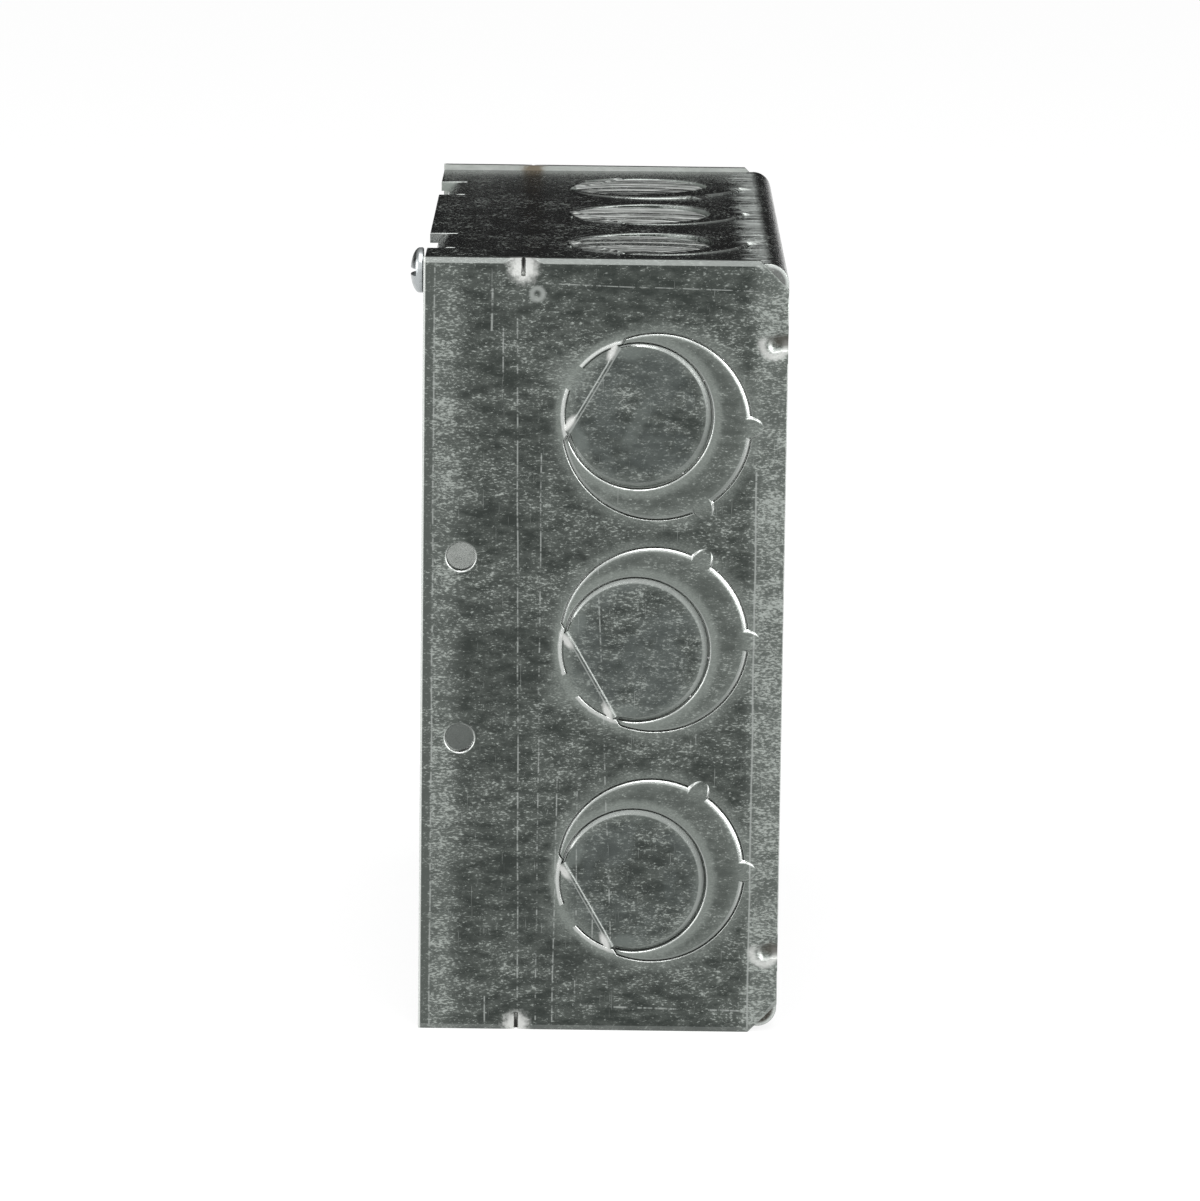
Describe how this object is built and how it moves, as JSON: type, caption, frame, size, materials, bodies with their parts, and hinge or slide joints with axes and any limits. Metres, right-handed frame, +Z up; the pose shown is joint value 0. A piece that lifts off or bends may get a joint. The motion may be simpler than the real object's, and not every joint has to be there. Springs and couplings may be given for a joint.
{
  "type": "square electrical box",
  "caption": "Welded square steel electrical box, open at the front, with eccentric knockouts in its walls, bent cover ears, cover screws and a raised ground boss.",
  "frame": {"origin": "centre of the back's outer face", "axes": "+Y out of the back, so that the open front faces -Y; +Z up, as the box stands on its side; +X out of the right side plate"},
  "size_m": [0.12, 0.0576, 0.119],
  "materials": {
    "galvanised_sheet": "pre-galvanised sheet, mottled, with sheared edges",
    "zinc_screws": "bright zinc plate"
  },
  "bodies": {
    "root": {"back_wrap": "galvanised_sheet", "right_side_plate": "galvanised_sheet", "left_side_plate": "galvanised_sheet", "cover_screws": "zinc_screws"}
  },
  "joints": []
}
